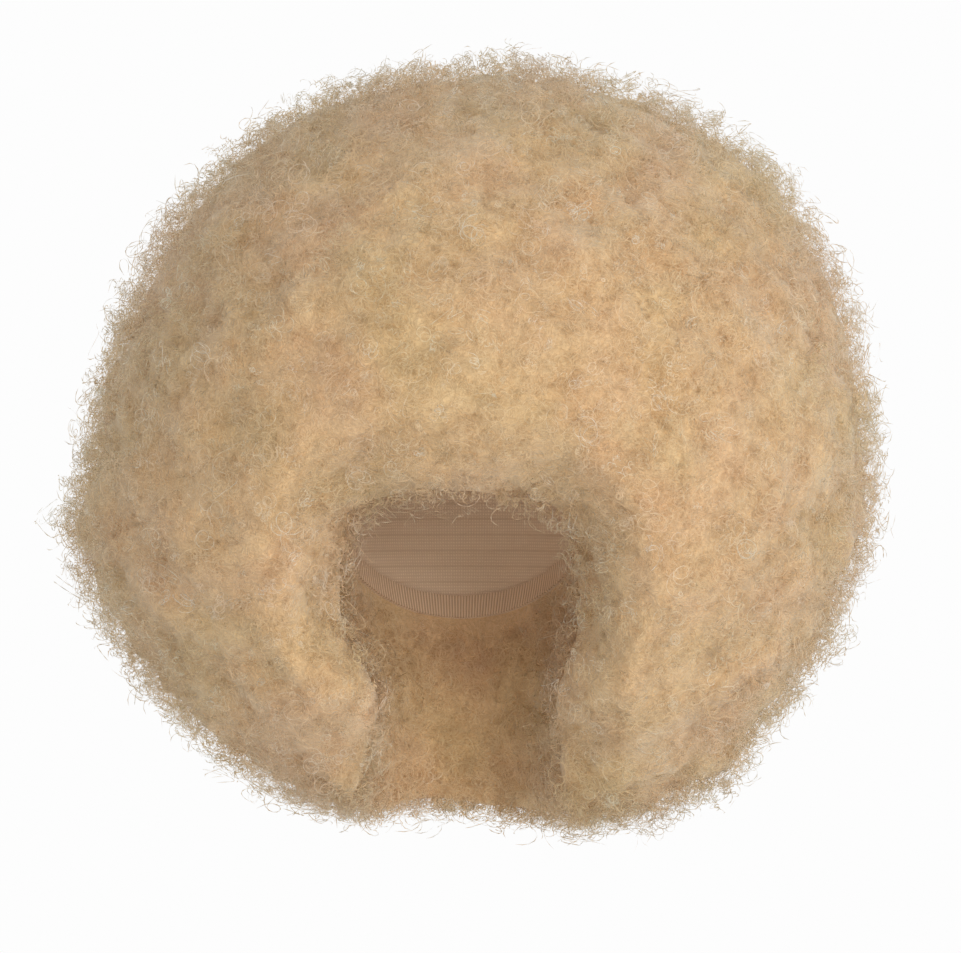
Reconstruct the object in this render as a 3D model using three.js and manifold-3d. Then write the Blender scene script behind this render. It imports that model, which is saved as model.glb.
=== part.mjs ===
// An afro wig: a ball of frizzy hair, sewn in five groups of wefts to a knitted cap with an elastic band in its rim.
// Millimetres, +Z up. The wearer looks along -Y, and left and right are as seen from the front. The origin is the
// inside of the cap at the crown of the head.
import * as THREE from "three";
import { mergeVertices } from "three/addons/utils/BufferGeometryUtils.js";
import Module from "manifold-3d";

const wasm = await Module();
wasm.setup();

// Cap, for an adult head of about 550 mm girth. It is drawn from the crown down to its rim.
const capWidth = 152;
const capLength = 192;
const crownToGirth = 95;
const napeDrop = 158;
const capWall = 1.5;
const bandWidth = 12;
const bandWall = 1.2;
const clearance = 0.35;

// Head and neck below the girth, down to the shoulders.
const neckDepth = 205;

// Ball of hair, measured over its middling tufts. Its top stands hairTop above the crown.
const hairWidth = 446;
const hairDepth = 384;
const hairHeight = 431;
const hairTop = 155;
const hairShift = 10;
const hairSetback = 40;
const tuftSize = 46;
const tuftHeight = 8.5;

// Opening for the face and neck, from the fringe's edge to below the jaw and on to the hem. Its edge stands off the
// skin by a thickness of hair, and rolls forward and outward from there, over a greater width above the forehead. The
// roll's fullness is 1 for a quarter round, and less for a flatter slope.
const fringeDrop = 88;
const faceWidth = 131;
const faceHeight = 157;
const hemGap = 176;
const edgeThickness = 24;
const rollWidth = 44;
const fringeRoll = 54;
const rollFullness = 0.6;

// Zones of wefts: half-angles in degrees about the head's axis, and how far the fringe's zone reaches below its edge.
const crownAngle = 46;
const fringeAngle = 38;
const backAngle = 55;
const fringeSkirt = 14;

// Fineness of the facets.
const bearings = 36;
const capLevels = 8;
const neckLevels = 6;
const faceSteps = 48;
const rollSteps = 6;
const ballDetail = 16;

// Rim of the cap: forehead, temple, ear tab, over the ear, behind the ear, nape. Drops are shares of napeDrop.
const rimRows = [
  { bearing: 0, drop: 0.4 },
  { bearing: 38, drop: 0.43 },
  { bearing: 66, drop: 0.71 },
  { bearing: 92, drop: 0.58 },
  { bearing: 132, drop: 0.87 },
  { bearing: 156, drop: 0.97 },
  { bearing: 180, drop: 1 },
];

// Head and neck below the girth. Depth is a share of neckDepth, the others of the cap's half-width and half-length.
const neckRows = [
  { down: 0, side: 1, front: 1, back: 1 },
  { down: 0.2, side: 0.98, front: 0.98, back: 0.95 },
  { down: 0.36, side: 0.88, front: 0.9, back: 0.83 },
  { down: 0.52, side: 0.72, front: 0.62, back: 0.76 },
  { down: 0.72, side: 0.7, front: 0.46, back: 0.76 },
  { down: 1, side: 0.84, front: 0.46, back: 0.84 },
];

// Outline of that opening as seen from the front, from the fringe to below the jaw. Depth is a share of faceHeight,
// left and right are shares of half of faceWidth.
const faceRows = [
  { down: 0, left: 0.61, right: 0.61 },
  { down: 0.065, left: 0.9, right: 0.88 },
  { down: 0.235, left: 1.0, right: 1.0 },
  { down: 0.46, left: 0.98, right: 0.99 },
  { down: 0.715, left: 0.66, right: 0.79 },
  { down: 1, left: 0.9, right: 1.04 },
];

// Outline of the ball by height, from -1 at the bottom to 1 at the top: shares of what an ellipsoid would reach.
const ballRows = [
  { height: -1, left: 1.18, right: 1.42, front: 0.95, back: 1.05 },
  { height: -0.9, left: 1.13, right: 1.34, front: 0.95, back: 1.04 },
  { height: -0.8, left: 1.08, right: 1.14, front: 0.95, back: 1.02 },
  { height: -0.7, left: 1.06, right: 1.07, front: 0.95, back: 1.0 },
  { height: -0.45, left: 1.06, right: 1.02, front: 0.97, back: 1.01 },
  { height: -0.3, left: 1.07, right: 1.01, front: 0.99, back: 1.02 },
  { height: 0, left: 1.0, right: 1.0, front: 1.03, back: 0.99 },
  { height: 0.3, left: 0.95, right: 0.99, front: 1.05, back: 1.0 },
  { height: 0.6, left: 0.96, right: 1.03, front: 1.02, back: 1.01 },
  { height: 0.8, left: 0.96, right: 1.07, front: 0.99, back: 1.0 },
  { height: 1, left: 1.0, right: 1.05, front: 0.96, back: 0.98 },
];

/** A smooth curve through one column of a table, level at both ends. */
function smooth(rows, key, column) {
  const curve = new THREE.CubicInterpolant(
    rows.map((row) => row[key]),
    rows.map((row) => row[column]),
    1,
    new Float32Array(1),
  );
  curve.settings = { endingStart: THREE.ZeroSlopeEnding, endingEnd: THREE.ZeroSlopeEnding };
  return (at) => curve.evaluate(at)[0];
}

/** A closed surface through rings of points, between two centre points or, without them, round a loop. */
function loft(rings, first, last) {
  const count = rings[0].length;
  const points = rings.flat();
  const faces = [];
  const at = (ring, i) => (ring % rings.length) * count + (i % count);
  const spans = first ? rings.length - 1 : rings.length;
  for (let ring = 0; ring < spans; ring++) {
    for (let i = 0; i < count; i++) {
      const quad = [at(ring, i), at(ring + 1, i), at(ring + 1, i + 1), at(ring, i + 1)];
      const [a, b, c, d] = quad.map((corner) => points[corner]);
      if (b.distanceTo(d) < a.distanceTo(c)) quad.push(quad.shift());
      faces.push(quad[0], quad[1], quad[2], quad[0], quad[2], quad[3]);
    }
  }
  if (first) {
    for (let i = 0; i < count; i++) {
      faces.push(points.length, at(0, i), at(0, i + 1));
      faces.push(at(spans, i), points.length + 1, at(spans, i + 1));
    }
    points.push(first, last);
  }
  return new THREE.BufferGeometry().setFromPoints(points).setIndex(faces);
}

/** A three.js geometry as a solid that can be cut and joined. */
function solidOf(geometry) {
  const bare = geometry.clone().deleteAttribute("normal").deleteAttribute("uv");
  const merged = mergeVertices(bare, 1e-3);
  return new wasm.Manifold(
    new wasm.Mesh({
      numProp: 3,
      vertProperties: new Float32Array(merged.attributes.position.array),
      triVerts: new Uint32Array(merged.index.array),
    }),
  );
}

/** A solid as a three.js geometry with flat facets. */
function geometryOf(solid) {
  const mesh = solid.getMesh();
  const geometry = new THREE.BufferGeometry();
  geometry.setAttribute("position", new THREE.BufferAttribute(mesh.vertProperties, 3));
  geometry.setIndex(new THREE.BufferAttribute(mesh.triVerts, 1));
  return geometry;
}

// Head form: the inside of the cap, carried on down the cheeks and neck.
const hairBottom = hairHeight - hairTop;
const hollowDepth = Math.max(neckDepth, hairBottom - crownToGirth) + 2 * tuftHeight;
const neckSide = smooth(neckRows, "down", "side");
const neckFront = smooth(neckRows, "down", "front");
const neckBack = smooth(neckRows, "down", "back");
const rimDrop = smooth(rimRows, "bearing", "drop");
const domeArc = (crownToGirth * Math.PI) / 2;

/** A point of the head form. Its bearing is measured from the face, and its arc down from the crown. */
function headPoint(bearing, arc) {
  const angle = Math.min(arc, domeArc) / crownToGirth;
  const below = Math.max(arc - domeArc, 0);
  const down = below / neckDepth;
  const reach = Math.cos(bearing) > 0 ? neckFront(down) : neckBack(down);
  return new THREE.Vector3(
    Math.sin(bearing) * Math.sin(angle) * neckSide(down) * (capWidth / 2),
    -Math.cos(bearing) * Math.sin(angle) * reach * (capLength / 2),
    -crownToGirth * (1 - Math.cos(angle)) - below,
  );
}

/** A point that stands off the head form by a thickness. */
function headSkin(bearing, arc, off) {
  const turn = 0.01;
  const step = turn * crownToGirth;
  const round = headPoint(bearing + turn, arc).sub(headPoint(bearing - turn, arc));
  const along = headPoint(bearing, arc + step).sub(headPoint(bearing, arc - step));
  const outward = along.cross(round).normalize();
  return headPoint(bearing, arc).addScaledVector(outward, off);
}

/** How far down the arc the cap's rim lies at a bearing. The two sides are alike. */
function rimArc(bearing) {
  const degrees = Math.abs(THREE.MathUtils.radToDeg(bearing));
  const drop = napeDrop * rimDrop(Math.min(degrees, 360 - degrees));
  if (drop > crownToGirth) return domeArc + drop - crownToGirth;
  return crownToGirth * Math.acos(1 - drop / crownToGirth);
}

/** A ring of the head form, with its arc given by a function of the bearing. */
function headRing(arcAt, off) {
  return Array.from({ length: bearings }, (_, i) => {
    const bearing = (i / bearings) * 2 * Math.PI;
    return headSkin(bearing, arcAt(bearing), off);
  });
}

const above = (off) => new THREE.Vector3(0, 0, off);

/** Rings of the cap from the crown to its rim. The last two lie at the edges of the rim's band. */
function capRings(off) {
  const rings = Array.from({ length: capLevels }, (_, level) =>
    headRing((bearing) => ((level + 1) / capLevels) * (rimArc(bearing) - bandWidth), off),
  );
  return [...rings, headRing(rimArc, off)];
}

function makeCap() {
  const rings = [...capRings(capWall), ...capRings(0).reverse()];
  return loft(rings, above(capWall), above(0));
}

function makeRimBand() {
  const hem = (up, off) => headRing((bearing) => rimArc(bearing) - up, off);
  const outside = -clearance;
  const inside = -clearance - bandWall;
  return loft([
    hem(bandWidth, outside),
    hem(0, outside),
    hem(0, inside),
    hem(bandWidth, inside),
  ]);
}

/** The space for the capped head and the neck, open at the bottom of the hair. */
function headHollow() {
  const off = capWall + clearance;
  const below = Array.from({ length: neckLevels }, (_, level) =>
    headRing((bearing) => {
      const rim = rimArc(bearing);
      return rim + ((level + 1) / neckLevels) * (domeArc + neckDepth - rim);
    }, off),
  );
  const hem = headRing(() => domeArc + hollowDepth, off);
  const bottom = new THREE.Vector3(0, 0, -crownToGirth - hollowDepth);
  return loft([...capRings(off), ...below, hem], above(off), bottom);
}

// Ball of hair.
const ballLeft = smooth(ballRows, "height", "left");
const ballRight = smooth(ballRows, "height", "right");
const ballFront = smooth(ballRows, "height", "front");
const ballBack = smooth(ballRows, "height", "back");
const ballCentre = new THREE.Vector3(hairShift, hairSetback, hairTop - hairHeight / 2);

/** Directions of the tufts' middles, spread evenly over the ball in a spiral, and each tuft's own height. */
function tuftCentres() {
  const radius = (hairWidth + hairDepth + hairHeight) / 6;
  const count = Math.round((4 * Math.PI * radius ** 2) / (0.87 * tuftSize ** 2));
  const golden = Math.PI * (3 - Math.sqrt(5));
  return Array.from({ length: count }, (_, i) => {
    const up = 1 - (2 * i + 1) / count;
    const out = Math.sqrt(1 - up ** 2);
    return {
      toward: new THREE.Vector3(out * Math.cos(golden * i), out * Math.sin(golden * i), up),
      height: tuftHeight * (1 + 0.25 * Math.sin(i * 78.233)),
      reach: (0.58 * tuftSize) / radius,
    };
  });
}

const tufts = tuftCentres();

/** How far the tufts stand out of the ball in a direction: the highest dome there. */
function tuftOut(direction) {
  let out = 0;
  for (const tuft of tufts) {
    const apart = direction.distanceTo(tuft.toward) / tuft.reach;
    if (apart < 1) out = Math.max(out, tuft.height * Math.sqrt(1 - apart ** 2));
  }
  return out;
}

/** A point of the ball's surface in a direction. */
function ballPoint(direction) {
  const { x, y, z } = direction;
  const side = x < 0 ? ballLeft(z) : ballRight(z);
  const depth = y < 0 ? ballFront(z) : ballBack(z);
  const point = new THREE.Vector3(
    x * side * (hairWidth / 2 - tuftHeight),
    y * depth * (hairDepth / 2 - tuftHeight),
    z * (hairHeight / 2 - tuftHeight),
  );
  return point.addScaledVector(direction, tuftOut(direction)).add(ballCentre);
}

function makeBall() {
  const bare = new THREE.IcosahedronGeometry(1, ballDetail).deleteAttribute("normal").deleteAttribute("uv");
  const ball = mergeVertices(bare, 1e-4);
  const place = ball.attributes.position;
  const direction = new THREE.Vector3();
  for (let i = 0; i < place.count; i++) {
    direction.fromBufferAttribute(place, i).normalize();
    place.setXYZ(i, ...ballPoint(direction));
  }
  return ball;
}

// Opening for the face and neck.

/** How far forward the ball's surface lies at a point of the front view. */
function ballForward(x, z) {
  const up = THREE.MathUtils.clamp((z - ballCentre.z) / (hairHeight / 2), -1, 1);
  const side = x < ballCentre.x ? ballLeft(up) : ballRight(up);
  const across = (x - ballCentre.x) / (side * (hairWidth / 2));
  const forward = Math.sqrt(Math.max(1 - up ** 2 - across ** 2, 0));
  return -ballPoint(new THREE.Vector3(across, -forward, up)).y;
}

/** How far forward the hair's edge lies round the face: on the skin, with the edge's own thickness. */
function edgeForward(x, z) {
  const down = THREE.MathUtils.clamp((-z - crownToGirth) / neckDepth, 0, 1);
  const across = Math.min(Math.abs(x) / (neckSide(down) * (capWidth / 2)), 1);
  return neckFront(down) * (capLength / 2) * Math.sqrt(1 - across ** 2) + edgeThickness;
}

/** The opening as a solid, from the middle of the head forward, flaring out as the hair rolls back round it. */
function faceOpening() {
  const sidePoints = (side, sign) => [
    ...faceRows.map((row) => [row[side] * (faceWidth / 2), fringeDrop + row.down * faceHeight]),
    [hemGap / 2, crownToGirth + hollowDepth],
  ].map(([across, down]) => new THREE.Vector3(sign * across, 0, -down));
  const points = [...sidePoints("right", 1), ...sidePoints("left", -1).reverse()];
  const outline = new THREE.CatmullRomCurve3(points, true, "centripetal");
  const edge = outline.getSpacedPoints(faceSteps).slice(1);
  const outward = edge.map((_, i) => {
    const along = edge[(i + 1) % faceSteps].clone().sub(edge.at(i - 1));
    return new THREE.Vector3(-along.z, 0, along.x).normalize();
  });
  const widths = outward.map(({ z }) => rollWidth + (fringeRoll - rollWidth) * Math.max(z, 0) ** 2);
  const ring = (outAt, forwardAt) =>
    edge.map((point, i) => {
      const moved = point.clone().addScaledVector(outward[i], outAt(widths[i]));
      return moved.setY(-forwardAt(point, moved));
    });
  const rolled = Array.from({ length: rollSteps + 1 }, (_, step) => {
    const angle = ((step / rollSteps) * Math.PI) / 2;
    const out = (1 - Math.cos(angle)) ** rollFullness;
    return ring((width) => out * width, (point, moved) => {
      const from = edgeForward(point.x, point.z);
      return from + Math.sin(angle) * Math.max(ballForward(moved.x, moved.z) - from, 0);
    });
  });
  const back = ring(() => -edgeThickness, () => 0);
  const front = ring((width) => width, () => hairDepth);
  const middle = new THREE.Vector3(0, 0, -fringeDrop - faceHeight / 2);
  return loft([back, ...rolled, front], middle, middle.clone().setY(-hairDepth));
}

// Zones of wefts. A grown zone is larger all round by the clearance, and is what the others are cut by.
const farOut = 3 * Math.max(hairWidth, hairDepth, hairHeight);

function crownZone(grow) {
  const half = THREE.MathUtils.degToRad(crownAngle);
  const cone = new THREE.ConeGeometry(farOut * Math.tan(half), farOut, 48);
  cone.rotateX(Math.PI / 2).rotateY(Math.PI);
  return solidOf(cone.translate(0, 0, farOut / 2 - crownToGirth - grow / Math.sin(half)));
}

function sectorZone(facing, angle, bottom, grow) {
  const half = THREE.MathUtils.degToRad(angle);
  const apex = -grow / Math.sin(half);
  const side = farOut * Math.sin(half);
  const ahead = apex + farOut * Math.cos(half);
  const shape = new THREE.Shape([
    new THREE.Vector2(0, apex),
    new THREE.Vector2(side, ahead),
    new THREE.Vector2(-side, ahead),
  ]);
  const sector = new THREE.ExtrudeGeometry(shape, { depth: farOut, bevelEnabled: false });
  return solidOf(sector.rotateZ(facing).translate(0, 0, bottom - grow));
}

function halfSpace(side) {
  const box = new THREE.BoxGeometry(farOut, farOut, farOut);
  return solidOf(box.translate((side * farOut) / 2, 0, 0));
}

function makeHair() {
  const hair = solidOf(makeBall()).subtract(solidOf(faceOpening())).subtract(solidOf(headHollow()));
  const fringe = (grow) => sectorZone(Math.PI, fringeAngle, -fringeDrop - fringeSkirt, grow);
  const back = (grow) => sectorZone(0, backAngle, -farOut / 2, grow);
  const belowCrown = hair.subtract(crownZone(clearance));
  const sides = belowCrown.subtract(fringe(clearance)).subtract(back(clearance));
  return {
    hair_crown: hair.intersect(crownZone(0)),
    hair_fringe: belowCrown.intersect(fringe(0)),
    hair_left: sides.intersect(halfSpace(-1)),
    hair_right: sides.intersect(halfSpace(1)),
    hair_back: belowCrown.intersect(back(0)),
  };
}

const hairMaterial = new THREE.MeshStandardMaterial({ color: 0xd8b684, roughness: 0.85, metalness: 0 });
const capMaterial = new THREE.MeshStandardMaterial({ color: 0xc9a77c, roughness: 0.9, metalness: 0 });
const bandMaterial = new THREE.MeshStandardMaterial({ color: 0xb8946a, roughness: 0.8, metalness: 0 });

function piece(name, geometry, material) {
  geometry.computeVertexNormals();
  const mesh = new THREE.Mesh(geometry, material);
  mesh.name = name;
  return mesh;
}

const wig = new THREE.Group();
const hairGroup = new THREE.Group();
for (const [name, solid] of Object.entries(makeHair())) {
  hairGroup.add(piece(name, geometryOf(solid), hairMaterial));
}
wig.add(hairGroup);
wig.add(piece("cap", makeCap(), capMaterial));
wig.add(piece("rim_band", makeRimBand(), bandMaterial));

export default wig;
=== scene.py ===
import math

import bmesh
import bpy
import numpy as np
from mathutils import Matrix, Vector, noise
from mathutils.bvhtree import BVHTree


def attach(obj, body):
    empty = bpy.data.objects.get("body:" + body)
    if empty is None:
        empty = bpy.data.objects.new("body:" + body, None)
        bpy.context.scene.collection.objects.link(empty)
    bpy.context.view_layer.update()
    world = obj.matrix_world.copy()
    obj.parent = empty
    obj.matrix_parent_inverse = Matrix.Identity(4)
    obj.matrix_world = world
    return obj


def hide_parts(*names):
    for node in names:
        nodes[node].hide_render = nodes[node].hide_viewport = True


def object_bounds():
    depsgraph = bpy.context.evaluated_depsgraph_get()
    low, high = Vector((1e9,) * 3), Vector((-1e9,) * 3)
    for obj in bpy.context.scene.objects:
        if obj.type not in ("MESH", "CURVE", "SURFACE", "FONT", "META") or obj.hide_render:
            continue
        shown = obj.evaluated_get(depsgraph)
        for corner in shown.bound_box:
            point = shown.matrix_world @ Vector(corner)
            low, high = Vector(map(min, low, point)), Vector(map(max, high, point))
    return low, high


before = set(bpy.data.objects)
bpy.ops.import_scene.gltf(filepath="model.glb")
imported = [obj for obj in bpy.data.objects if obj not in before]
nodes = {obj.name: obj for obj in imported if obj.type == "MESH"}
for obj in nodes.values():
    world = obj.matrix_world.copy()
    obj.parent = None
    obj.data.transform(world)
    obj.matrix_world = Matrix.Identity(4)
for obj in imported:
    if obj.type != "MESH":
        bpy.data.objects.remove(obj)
cad_low, cad_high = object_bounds()

# Camera
# The photograph looks straight at the front of the wig, level with its middle, from a few steps away.
photo_width_px = 961
metres_per_px = 0.000552
camera_distance = 2.3
picture_middle = Vector((0.0109, 0.0, -0.0769))

camera_data = bpy.data.cameras.new("camera")
camera_data.sensor_width = 36.0
camera_data.lens = camera_data.sensor_width * camera_distance / (photo_width_px * metres_per_px)
camera = bpy.data.objects.new("camera", camera_data)
camera.location = picture_middle - Vector((0, camera_distance, 0))
camera.rotation_euler = (math.pi / 2, 0, 0)
bpy.context.scene.collection.objects.link(camera)
bpy.context.scene.camera = camera

# Hair mass
# Kinked synthetic fibre springs from the wefts and tangles into one soft ball, in tufts about 34 mm wide.
# One closed skin over all five groups of wefts carries the tufts, a little inside their outline, under the
# loose curls. Inside the hollow it reaches their outline, with short frizz, but with none beside the cap.
hair_names = ["hair_crown", "hair_fringe", "hair_left", "hair_right", "hair_back"]
zone_overlap = 0.0005
skin_grain = 0.0042
curl_cover = 0.0072
hollow_middle = Vector((0, 0.02, -0.06))
facing_inward = 0.6
facing_blend = 0.3
open_rounds = 24
ball_rounds = 12
tuft_width = 0.034
tuft_relief = 0.0080
lock_width = 0.011
lock_relief = 0.0018
snag_width = 0.006
snag_relief = 0.0032
inner_frizz = 0.3
cap_reach = 0.008


def linear(red, green, blue):
    """A colour given from 0 to 255, as Blender wants it."""
    channels = [value / 255 for value in (red, green, blue)]
    return [c / 12.92 if c <= 0.04045 else ((c + 0.055) / 1.055) ** 2.4 for c in channels] + [1.0]


def array_of(collection, key, width):
    """One property of all the elements of a mesh, as rows."""
    values = np.empty(len(collection) * width, np.int32 if key == "vertices" else np.float32)
    collection.foreach_get(key, values)
    return values.reshape(-1, width)


def unit(vectors):
    """Rows of vectors, each made 1 long."""
    return vectors / np.linalg.norm(vectors, axis=-1, keepdims=True)


def hair_zone_mesh(names, swell):
    """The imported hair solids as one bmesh, each swollen so that neighbours meet."""
    bm = bmesh.new()
    for name in names:
        bm.from_mesh(nodes[name].data)
    bmesh.ops.remove_doubles(bm, verts=bm.verts, dist=1e-6)
    bm.normal_update()
    for vertex in bm.verts:
        vertex.co += vertex.normal * swell
    return bm


def finished_object(name, mesh, material):
    """A piece of the scene from a mesh, with its material."""
    piece = bpy.data.objects.new(name, mesh)
    bpy.context.scene.collection.objects.link(piece)
    mesh.materials.append(material)
    return piece


def remeshed(bm, grain):
    """A bmesh closed into one even skin of small faces."""
    rough = bpy.data.meshes.new("rough_skin")
    bm.to_mesh(rough)
    holder = bpy.data.objects.new("rough_skin", rough)
    bpy.context.scene.collection.objects.link(holder)
    voxels = holder.modifiers.new("voxels", "REMESH")
    voxels.mode = "VOXEL"
    voxels.voxel_size = grain
    bpy.context.view_layer.update()
    ready = holder.evaluated_get(bpy.context.evaluated_depsgraph_get())
    skin = bpy.data.meshes.new_from_object(ready)
    bpy.data.objects.remove(holder)
    return skin


def openness(points, normals):
    """0 where the skin faces the hollow's middle, or the line down from it, and 1 where it faces out."""
    middle = np.tile(np.array(hollow_middle), (len(points), 1))
    middle[:, 2] = np.minimum(points[:, 2], hollow_middle.z)
    inward = unit(middle - points)
    return np.clip((facing_inward - (normals * inward).sum(axis=1)) / facing_blend, 0, 1)


def search_tree(name):
    """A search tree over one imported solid."""
    bm = bmesh.new()
    bm.from_mesh(nodes[name].data)
    tree = BVHTree.FromBMesh(bm)
    bm.free()
    return tree


def clear_of_cap(points):
    """0 where a point lies on the cap or beside it, and 1 where it is well away from it."""
    cap_tree = search_tree("cap")
    apart = np.array([cap_tree.find_nearest(Vector(point))[3] for point in points])
    return np.clip(apart / cap_reach - 1, 0, 1)


def eased(values, edges, rounds):
    """Values of a mesh's points, each evened out with its neighbours' a number of times."""
    ends = np.concatenate([edges[:, 0], edges[:, 1]])
    others = np.concatenate([edges[:, 1], edges[:, 0]])
    neighbours = np.bincount(ends, minlength=len(values))
    for _ in range(rounds):
        sums = np.stack([np.bincount(ends, column[others], len(values)) for column in values.T], axis=1)
        values = (values + sums / neighbours[:, None]) / 2
    return values


def laid(mesh, points):
    """Move a mesh's points, and return its new normals."""
    mesh.vertices.foreach_set("co", points.astype(np.float32).ravel())
    mesh.update()
    return array_of(mesh.vertex_normals, "vector", 3)


def tufts(point):
    """How far the skin stands out at a point: domes of two sizes with creases between them."""
    tuft = 0.5 - noise.voronoi(Vector(point) / tuft_width)[0][0]
    lock = 0.5 - noise.voronoi(Vector(point) / lock_width)[0][0]
    return tuft * tuft_relief + lock * lock_relief


def soft_shading(mesh, normals):
    """Shade a mesh by these normals, not by its own faces, as light scatters among fibres."""
    shading = mesh.attributes.new("custom_normal", "FLOAT_VECTOR", "POINT")
    shading.data.foreach_set("vector", normals.astype(np.float32).ravel())


def dyed(tree, colour):
    """The same colour a little greener or pinker from place to place, as bleached fibre is."""
    place = tree.nodes.new("ShaderNodeTexCoord")
    patches = tree.nodes.new("ShaderNodeTexNoise")
    patches.inputs["Scale"].default_value = 16.0
    patches.inputs["Detail"].default_value = 3.0
    tree.links.new(place.outputs["Object"], patches.inputs["Vector"])
    tint = tree.nodes.new("ShaderNodeValToRGB")
    tint.color_ramp.elements[0].position = 0.35
    tint.color_ramp.elements[0].color = (0.97, 1.0, 0.95, 1)
    tint.color_ramp.elements[1].position = 0.65
    tint.color_ramp.elements[1].color = (1.0, 0.975, 0.98, 1)
    tree.links.new(patches.outputs["Fac"], tint.inputs["Fac"])
    product = tree.nodes.new("ShaderNodeMix")
    product.data_type = "RGBA"
    product.blend_type = "MULTIPLY"
    product.inputs["Factor"].default_value = 1.0
    tree.links.new(colour, product.inputs["A"])
    tree.links.new(tint.outputs["Color"], product.inputs["B"])
    return product.outputs["Result"]


def pale_bloom(shader):
    """The soft bloom of fine bleached fibre where it is seen edge on."""
    shader.inputs["Sheen Weight"].default_value = 0.45
    shader.inputs["Sheen Roughness"].default_value = 0.55
    shader.inputs["Sheen Tint"].default_value = (0.82, 1.0, 1.0, 1)


def frizz_material():
    """Fine kinked fibre seen as a mass: curling lines at two sizes, in bump and in tone."""
    material = bpy.data.materials.new("hair_mass")
    material.use_nodes = True
    tree = material.node_tree
    shader = tree.nodes["Principled BSDF"]
    place = tree.nodes.new("ShaderNodeTexCoord")
    line_share = 0.1

    def curling_lines(scale, detail):
        """Thin lines that follow the level curves of a twisted noise."""
        field = tree.nodes.new("ShaderNodeTexNoise")
        field.inputs["Scale"].default_value = scale
        field.inputs["Detail"].default_value = detail
        field.inputs["Distortion"].default_value = 1.5
        tree.links.new(place.outputs["Object"], field.inputs["Vector"])
        bands = tree.nodes.new("ShaderNodeMath")
        bands.operation = "PINGPONG"
        bands.inputs[1].default_value = line_share
        tree.links.new(field.outputs["Fac"], bands.inputs[0])
        lines = tree.nodes.new("ShaderNodeMapRange")
        lines.inputs["From Max"].default_value = line_share
        tree.links.new(bands.outputs[0], lines.inputs["Value"])
        return lines.outputs["Result"]

    fibres = tree.nodes.new("ShaderNodeMix")
    fibres.inputs["Factor"].default_value = 0.5
    tree.links.new(curling_lines(120.0, 2.0), fibres.inputs["A"])
    tree.links.new(curling_lines(260.0, 3.0), fibres.inputs["B"])
    tone = tree.nodes.new("ShaderNodeValToRGB")
    tone.color_ramp.elements[0].color = linear(208, 169, 123)
    tone.color_ramp.elements[0].position = 0.1
    tone.color_ramp.elements[1].color = linear(230, 194, 147)
    tone.color_ramp.elements[1].position = 0.85
    tree.links.new(fibres.outputs["Result"], tone.inputs["Fac"])
    tree.links.new(dyed(tree, tone.outputs["Color"]), shader.inputs["Base Color"])
    bump = tree.nodes.new("ShaderNodeBump")
    bump.inputs["Strength"].default_value = 0.6
    bump.inputs["Distance"].default_value = 0.001
    tree.links.new(fibres.outputs["Result"], bump.inputs["Height"])
    tree.links.new(bump.outputs["Normal"], shader.inputs["Normal"])
    shader.inputs["Roughness"].default_value = 0.75
    shader.inputs["Specular IOR Level"].default_value = 0.25
    pale_bloom(shader)
    return material


zones = hair_zone_mesh(hair_names, zone_overlap)
skin = remeshed(zones, skin_grain)
zones.free()
skin_points = array_of(skin.vertices, "co", 3)
skin_normals = array_of(skin.vertex_normals, "vector", 3)
skin_edges = array_of(skin.edges, "vertices", 2)
skin_open = eased(openness(skin_points, skin_normals)[:, None], skin_edges, open_rounds)
inner_points = skin_points - skin_normals * curl_cover * skin_open
rounded = eased(inner_points, skin_edges, ball_rounds)
inner_points += (rounded - inner_points) * np.minimum(2 * skin_open, 1)
ball_normals = laid(skin, inner_points)
skin_open = np.maximum(skin_open, inner_frizz * clear_of_cap(inner_points)[:, None])
relief = np.array([[tufts(point)] for point in skin_points], np.float32)
skin_points = inner_points + ball_normals * relief * skin_open
skin_normals = unit(ball_normals + laid(skin, skin_points))
snags = np.array([[noise.noise(Vector(point) / snag_width)] for point in skin_points], np.float32)
laid(skin, skin_points + skin_normals * snags * snag_relief * skin_open)
skin.shade_smooth()
soft_shading(skin, skin_normals)
hair_mass = finished_object("hair_mass", skin, frizz_material())
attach(hair_mass, "root")
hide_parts(*hair_names)

# Curls
# Over the mass lie the loose kinks: locks of three crimped fibres that curl side by side, in rings 2 to
# 14 mm across. Most are matted close to the surface, and fewer stand further out, so the ball's edge is a
# mesh of loops. Each zone of wefts has its own piece, and so has the nape, low at the back.
lock_count = 16200
lock_strands = 3
lock_scatter = 0.0012
curl_points = 19
matted_depth = 0.002
frizz_depth = 0.0128
stray_reach = 0.0235
edge_share = 1.2
front_share = 1.35
front_limit = 0.12
front_blend = 0.04
hem_share = 2.0
hem_level = -0.235
hem_blend = 0.02
nape_level = -0.06
nape_depth = 0.07
smallest_ring = 0.0010
largest_ring = 0.0070
small_ring_bias = 1.6
small_ring_steps = 6.5
large_ring_steps = 13.5
axis_wander = 0.8
strand_width = 0.00046
least_tilt = 0.7
loose_tilt = 1.3
tip_overlap = 0.3
seed = 7


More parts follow.
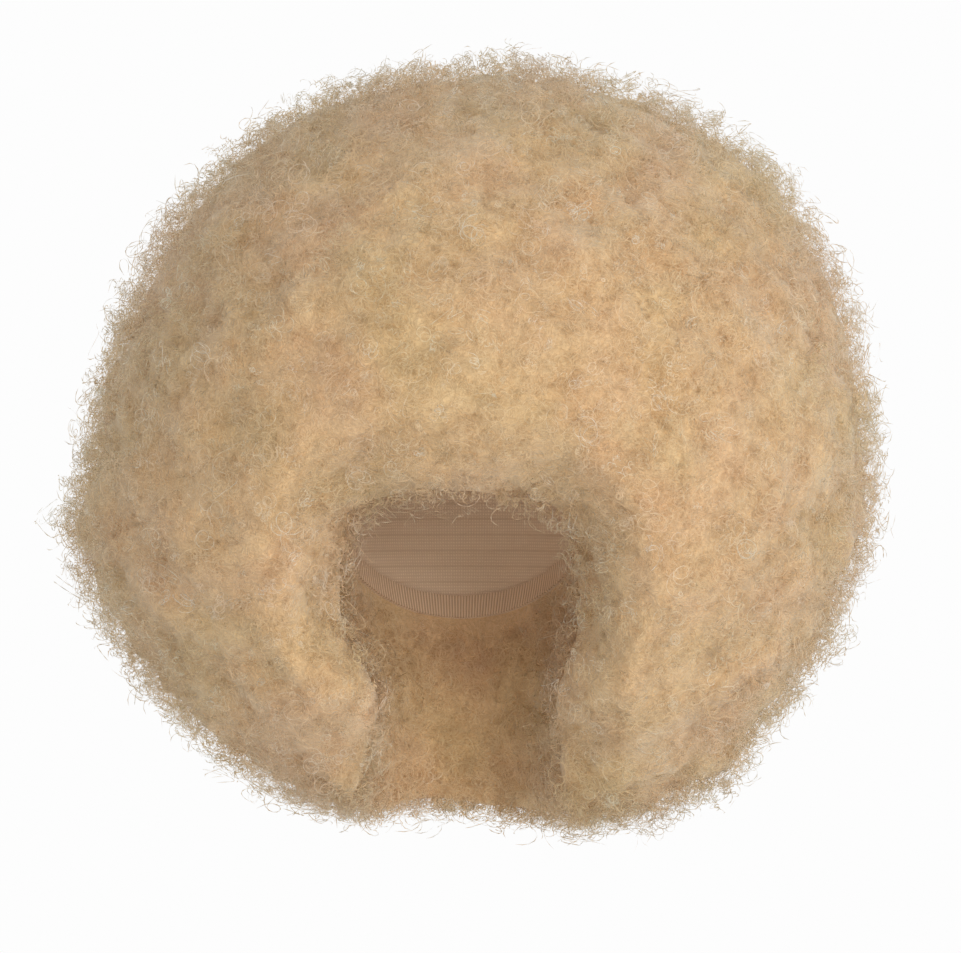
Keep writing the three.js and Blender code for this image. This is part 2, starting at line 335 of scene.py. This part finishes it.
def surface_samples(mesh, points, normals, values, count, rng):
    """Random places on a mesh where it is open, with their normals and openness. The front, the edges of
    the openings and the hem get more than their share."""
    mesh.calc_loop_triangles()
    triangles = array_of(mesh.loop_triangles, "vertices", 3)
    a, b, c = (points[triangles[:, k]] for k in range(3))
    value = values[triangles].mean(axis=1)
    wanted = value + edge_share * 4 * value * (1 - value)
    wanted *= 1 + (front_share - 1) * np.clip((front_limit - b[:, 1]) / front_blend, 0, 1)
    wanted *= 1 + (hem_share - 1) * np.clip((hem_level - b[:, 2]) / hem_blend, 0, 1)
    areas = np.linalg.norm(np.cross(b - a, c - a), axis=1) * wanted
    picked = triangles[rng.choice(len(triangles), count, p=areas / areas.sum())]
    shares = rng.dirichlet((1, 1, 1), count)
    places = np.einsum("nk,nkd->nd", shares, points[picked])
    outward = unit(np.einsum("nk,nkd->nd", shares, normals[picked]))
    return places, outward, (shares * values[picked]).sum(axis=1)


def curl_paths(roots, outward, height, rng):
    """Centre lines of the fibres: over each root a lock of them coils about one axis, at its own height.
    Small rings turn tightly and lie any way, and large ones are open loops that lie flat on the surface."""
    locks = len(roots)
    size = rng.uniform(0, 1, (locks, 1)) ** small_ring_bias
    radius = smallest_ring * (largest_ring / smallest_ring) ** size
    axis = unit(outward * (0.2 + 1.3 * size) + rng.normal(size=(locks, 3)) * axis_wander)
    turn = 2 * math.pi / (small_ring_steps + (large_ring_steps - small_ring_steps) * size)
    pitch = radius * rng.uniform(0.05, 0.45, (locks, 1)) * (1 - 0.6 * size)
    phase = rng.uniform(0, 2 * math.pi, (locks, 1))
    middle = roots + outward * height[:, None]

    def fibres(values, spread=0.0):
        """The lock's value for each of its fibres, each a little different."""
        copies = np.repeat(values, lock_strands, axis=0)
        return copies + rng.normal(size=copies.shape) * spread

    axis = unit(fibres(axis, 0.15))
    across = unit(np.cross(axis[::lock_strands], rng.normal(size=(locks, 3))))
    side = unit(np.cross(axis, fibres(across, 0.1)))
    other = np.cross(axis, side)
    radius = fibres(radius) * rng.uniform(0.8, 1.2, (locks * lock_strands, 1))
    turn = fibres(turn)
    steps = np.arange(curl_points)[None, :]
    angle = turn * steps + fibres(phase, 0.25)
    swell = 0.65 + 0.5 * steps / curl_points + 0.2 * np.sin(steps * 0.5 + angle[:, :1])
    drift = rng.normal(size=(locks * lock_strands, 1, 3)) * radius[:, :, None]
    middle = fibres(middle)
    middle += rng.normal(size=(locks * lock_strands, 3)) * (lock_scatter + 0.25 * radius)
    paths = middle[:, None, :] + axis[:, None, :] * (fibres(pitch) * turn * steps)[:, :, None]
    paths = paths + drift * ((steps / curl_points) ** 2)[:, :, None]
    paths = paths + side[:, None, :] * (radius * swell * np.cos(angle))[:, :, None]
    paths = paths + other[:, None, :] * (radius * swell * np.sin(angle))[:, :, None]
    up = fibres(outward)[:, None, :]
    heights = ((paths - fibres(roots)[:, None, :]) * up).sum(axis=2, keepdims=True)
    reach = heights.max(axis=1, keepdims=True)
    return paths - up * np.maximum(reach - stray_reach, 0)


def strand_mesh(name, paths, outward, looseness, rng):
    """Flat fibres along centre lines, as chains of narrow kites that overlap at their tips. They lean from
    the hair's surface near it and turn every way further out, but all are shaded as that surface is."""
    count, steps, _ = paths.shape
    along = unit(np.gradient(paths, axis=1))
    tilt = rng.normal(size=(count, 3)) * (least_tilt + loose_tilt * looseness)[:, None]
    facing = unit(outward + np.cross(outward, tilt))[:, None, :]
    lean = unit(np.cross(along, facing))
    inside_out = (np.cross(lean, along) * outward[:, None, :]).sum(axis=2, keepdims=True) < 0
    lean = np.where(inside_out, -lean, lean)
    half = lean * 0.5 * strand_width * rng.uniform(0.7, 1.3, (count, 1, 1))
    kites = (steps - 1) // 2
    tails = paths[:, 0:-1:2]
    waists = paths[:, 1::2]
    tips = paths[:, 2::2]
    half = half[:, 1::2]
    corners = np.stack(
        [
            tails - tip_overlap * (waists - tails),
            waists - half,
            waists + half,
            tips + tip_overlap * (tips - waists),
        ],
        axis=2,
    )
    soft = unit(outward[:, None, :] + 0.1 * np.cross(lean, along))[:, 1::2]
    shading = np.repeat(soft[:, :, None, :], 4, axis=2)
    tail = 4 * np.arange(count * kites)
    faces = np.stack([tail, tail + 2, tail + 1, tail + 1, tail + 2, tail + 3], axis=1).reshape(-1, 3)
    mesh = bpy.data.meshes.new(name)
    mesh.vertices.add(corners.size // 3)
    mesh.vertices.foreach_set("co", corners.astype(np.float32).ravel())
    mesh.loops.add(faces.size)
    mesh.loops.foreach_set("vertex_index", faces.astype(np.int32).ravel())
    mesh.polygons.add(len(faces))
    mesh.polygons.foreach_set("loop_start", np.arange(0, faces.size, 3, dtype=np.int32))
    mesh.update(calc_edges=True)
    mesh.shade_smooth()
    soft_shading(mesh, shading)
    tone = mesh.attributes.new("tone", "FLOAT", "POINT")
    lock_tone = np.repeat(rng.uniform(0, 1, count // lock_strands), lock_strands)
    # Painted light: strands that stand further out are painted paler, as if lit through; the lock share is
    # their own random tone.
    tone_and_painted_glow = 0.3 * (lock_tone + rng.uniform(0, 1, count)) + 0.5 * looseness
    tone.data.foreach_set("value", np.repeat(tone_and_painted_glow, 4 * kites).astype(np.float32))
    return mesh


def strand_material():
    """Matt synthetic fibre that lets some light through. Each strand has its own tone at random, and it is
    painted paler the further it stands from the mass, from honey near it to pale ash: painted light in the
    loose hair."""
    material = bpy.data.materials.new("hair_strands")
    material.use_nodes = True
    tree = material.node_tree
    shader = tree.nodes["Principled BSDF"]
    tone = tree.nodes.new("ShaderNodeAttribute")
    tone.attribute_name = "tone"
    colour = tree.nodes.new("ShaderNodeValToRGB")
    colour.color_ramp.elements[0].color = linear(228, 199, 159)
    colour.color_ramp.elements[1].color = linear(252, 246, 234)
    middling = colour.color_ramp.elements.new(0.55)
    middling.color = linear(246, 221, 184)
    tree.links.new(tone.outputs["Fac"], colour.inputs["Fac"])
    shade = dyed(tree, colour.outputs["Color"])
    tree.links.new(shade, shader.inputs["Base Color"])
    shader.inputs["Roughness"].default_value = 0.6
    shader.inputs["Specular IOR Level"].default_value = 0.1
    pale_bloom(shader)
    through = tree.nodes.new("ShaderNodeBsdfTranslucent")
    tree.links.new(shade, through.inputs["Color"])
    mix = tree.nodes.new("ShaderNodeMixShader")
    mix.inputs["Fac"].default_value = 0.5
    tree.links.new(shader.outputs[0], mix.inputs[1])
    tree.links.new(through.outputs[0], mix.inputs[2])
    tree.links.new(mix.outputs[0], tree.nodes["Material Output"].inputs["Surface"])
    return material


def nearest_zone(points, names):
    """The hair solid that each point lies nearest to."""
    trees = [search_tree(name) for name in names]
    apart = [[tree.find_nearest(Vector(point))[3] for tree in trees] for point in points]
    return np.array(names)[np.argmin(apart, axis=1)]


rng = np.random.default_rng(seed)
places, outward, openings = surface_samples(
    skin, skin_points, skin_normals, skin_open[:, 0], lock_count, rng
)
zone_of = nearest_zone(places, hair_names)
zone_of[(places[:, 1] > nape_depth) & (places[:, 2] < nape_level)] = "hair_nape"
strands = strand_material()
for name in hair_names + ["hair_nape"]:
    mine = np.flatnonzero(zone_of == name)
    depth = matted_depth + frizz_depth * openings[mine]
    height = (1 - np.sqrt(rng.uniform(0, 1, len(mine)))) * depth
    paths = curl_paths(places[mine], outward[mine], height, rng)
    surface = np.repeat(outward[mine], lock_strands, axis=0)
    looseness = np.repeat(height / (matted_depth + frizz_depth), lock_strands)
    curls = finished_object(
        name.replace("hair", "curls"), strand_mesh(name, paths, surface, looseness, rng), strands
    )
    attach(curls, "root")

# Cap
# A fine stretch knit in the colour of skin. The wefts are machine-sewn to it in rows from the front to the
# nape, so seams 9 mm apart show inside it, with the knit's small stitches between them.
seam_spacing = 0.009
stitch_spacing = 0.0018
cap_girth = 0.55


def ripples(tree, values, spacing, sharpness):
    """A wave from 0 to 1 along a coordinate, in lines this far apart."""
    phase = tree.nodes.new("ShaderNodeMath")
    phase.operation = "MULTIPLY"
    phase.inputs[1].default_value = 2 * math.pi / spacing
    tree.links.new(values, phase.inputs[0])
    wave = tree.nodes.new("ShaderNodeMath")
    wave.operation = "SINE"
    tree.links.new(phase.outputs[0], wave.inputs[0])
    lines = tree.nodes.new("ShaderNodeMapRange")
    lines.interpolation_type = "SMOOTHSTEP"
    lines.inputs["From Min"].default_value = -1
    lines.inputs["From Max"].default_value = 1 - 2 * sharpness
    tree.links.new(wave.outputs[0], lines.inputs["Value"])
    return lines.outputs["Result"]


def around_cap(tree, place):
    """How far round the cap a point lies, in metres at its girth, and its height."""
    centred = tree.nodes.new("ShaderNodeMapping")
    centred.inputs["Location"].default_value = (-hollow_middle.x, -hollow_middle.y, 0)
    tree.links.new(place.outputs["Object"], centred.inputs["Vector"])
    parts = tree.nodes.new("ShaderNodeSeparateXYZ")
    tree.links.new(centred.outputs["Vector"], parts.inputs[0])
    angle = tree.nodes.new("ShaderNodeMath")
    angle.operation = "ARCTAN2"
    tree.links.new(parts.outputs["Y"], angle.inputs[0])
    tree.links.new(parts.outputs["X"], angle.inputs[1])
    girth = tree.nodes.new("ShaderNodeMath")
    girth.operation = "MULTIPLY"
    girth.inputs[1].default_value = cap_girth / (2 * math.pi)
    tree.links.new(angle.outputs[0], girth.inputs[0])
    return girth.outputs[0], parts.outputs["Z"]


def combined(tree, operation, first, second):
    """Two fields made one, by their product or by the larger of the two."""
    joined = tree.nodes.new("ShaderNodeMath")
    joined.operation = operation
    tree.links.new(first, joined.inputs[0])
    tree.links.new(second, joined.inputs[1])
    return joined.outputs[0]


def lifted(tree, values, least):
    """A field from 0 to 1, made to run from this least value to 1."""
    spread = tree.nodes.new("ShaderNodeMapRange")
    spread.inputs["To Min"].default_value = least
    tree.links.new(values, spread.inputs["Value"])
    return spread.outputs["Result"]


def fabric_material(name, dark, light, height, pattern_of):
    """A cloth whose pattern, a field from 0 to 1, gives both its tone and its relief."""
    material = bpy.data.materials.new(name)
    material.use_nodes = True
    tree = material.node_tree
    shader = tree.nodes["Principled BSDF"]
    pattern = pattern_of(tree, tree.nodes.new("ShaderNodeTexCoord"))
    tone = tree.nodes.new("ShaderNodeValToRGB")
    tone.color_ramp.elements[0].color = dark
    tone.color_ramp.elements[1].color = light
    tree.links.new(pattern, tone.inputs["Fac"])
    tree.links.new(tone.outputs["Color"], shader.inputs["Base Color"])
    bump = tree.nodes.new("ShaderNodeBump")
    bump.inputs["Strength"].default_value = 0.7
    bump.inputs["Distance"].default_value = height
    tree.links.new(pattern, bump.inputs["Height"])
    tree.links.new(bump.outputs["Normal"], shader.inputs["Normal"])
    shader.inputs["Roughness"].default_value = 0.85
    shader.inputs["Specular IOR Level"].default_value = 0.2
    return material


def knit_pattern(tree, place):
    """Small stitches in rows and wales, deepened along the seams of the wefts."""
    girth, level = around_cap(tree, place)
    wales = ripples(tree, girth, stitch_spacing, 0.0)
    rows = ripples(tree, level, stitch_spacing, 0.0)
    stitches = combined(tree, "MULTIPLY", wales, rows)
    seams = ripples(tree, level, seam_spacing, 0.85)
    return combined(tree, "MULTIPLY", lifted(tree, stitches, 0.35), lifted(tree, seams, 0.5))


cap_knit = fabric_material("cap_knit", linear(206, 176, 146), linear(242, 218, 190), 0.0005, knit_pattern)
nodes["cap"].data.materials.clear()
nodes["cap"].data.materials.append(cap_knit)

# Rim band
# Ribbed elastic 12 mm wide, in the same skin colour. It is sewn inside the cap's rim and holds the wig in
# place by its grip.
rib_spacing = 0.0022


def rib_pattern(tree, place):
    """Ribs across the band, with its fine weave between them."""
    girth, level = around_cap(tree, place)
    ribs = ripples(tree, girth, rib_spacing, 0.3)
    weave = ripples(tree, level, rib_spacing / 2, 0.0)
    return combined(tree, "MULTIPLY", combined(tree, "MAXIMUM", ribs, weave), ribs)


rim_elastic = fabric_material(
    "rim_elastic", linear(198, 165, 133), linear(234, 205, 174), 0.0006, rib_pattern
)
nodes["rim_band"].data.materials.clear()
nodes["rim_band"].data.materials.append(rim_elastic)

# Stage
# A pale floor below the wig, which is held up by its mount, and soft white light from all round. The lamps
# behind it keep the back as bright as the sides.
floor_drop = 0.25
floor_half = 1.2

floor_bm = bmesh.new()
bmesh.ops.create_grid(floor_bm, x_segments=1, y_segments=1, size=floor_half)
bmesh.ops.translate(floor_bm, verts=floor_bm.verts, vec=(0, 0, cad_low.z - floor_drop))
floor_mesh = bpy.data.meshes.new("floor")
floor_bm.to_mesh(floor_mesh)
floor_bm.free()
floor_paint = bpy.data.materials.new("floor")
floor_paint.use_nodes = True
floor_paint.node_tree.nodes["Principled BSDF"].inputs["Base Color"].default_value = linear(240, 239, 237)
floor = finished_object("floor", floor_mesh, floor_paint)

world = bpy.data.worlds.new("studio")
bpy.context.scene.world = world
world.use_nodes = True
studio = world.node_tree
backdrop = studio.nodes["Background"]
backdrop.inputs["Color"].default_value = (0.982, 0.982, 0.982, 1)
ambient = studio.nodes.new("ShaderNodeBackground")
ambient.inputs["Color"].default_value = (0.98, 1.0, 1.03, 1)
ambient.inputs["Strength"].default_value = 0.67
seen = studio.nodes.new("ShaderNodeLightPath")
choice = studio.nodes.new("ShaderNodeMixShader")
studio.links.new(seen.outputs["Is Camera Ray"], choice.inputs["Fac"])
studio.links.new(ambient.outputs[0], choice.inputs[1])
studio.links.new(backdrop.outputs[0], choice.inputs[2])
studio.links.new(choice.outputs[0], studio.nodes["World Output"].inputs["Surface"])


def softbox(name, place, size, power):
    """A square lamp that faces the hair, and that the camera doesn't see."""
    data = bpy.data.lights.new(name, "AREA")
    data.size = size
    data.energy = power
    lamp = bpy.data.objects.new(name, data)
    lamp.location = place
    lamp.visible_camera = False
    lamp.rotation_euler = (picture_middle - Vector(place)).to_track_quat("-Z", "Y").to_euler()
    bpy.context.scene.collection.objects.link(lamp)


softbox("key_light", (1.2, -2.2, 0.35), 1.2, 28.5)
softbox("fill_light", (-0.4, -2.6, -0.2), 0.6, 5.0)
softbox("left_back_light", (-1.3, 2.1, 0.9), 1.2, 15.0)
softbox("right_back_light", (1.3, 2.1, 0.9), 1.2, 15.0)
bpy.context.scene.view_settings.view_transform = "Standard"
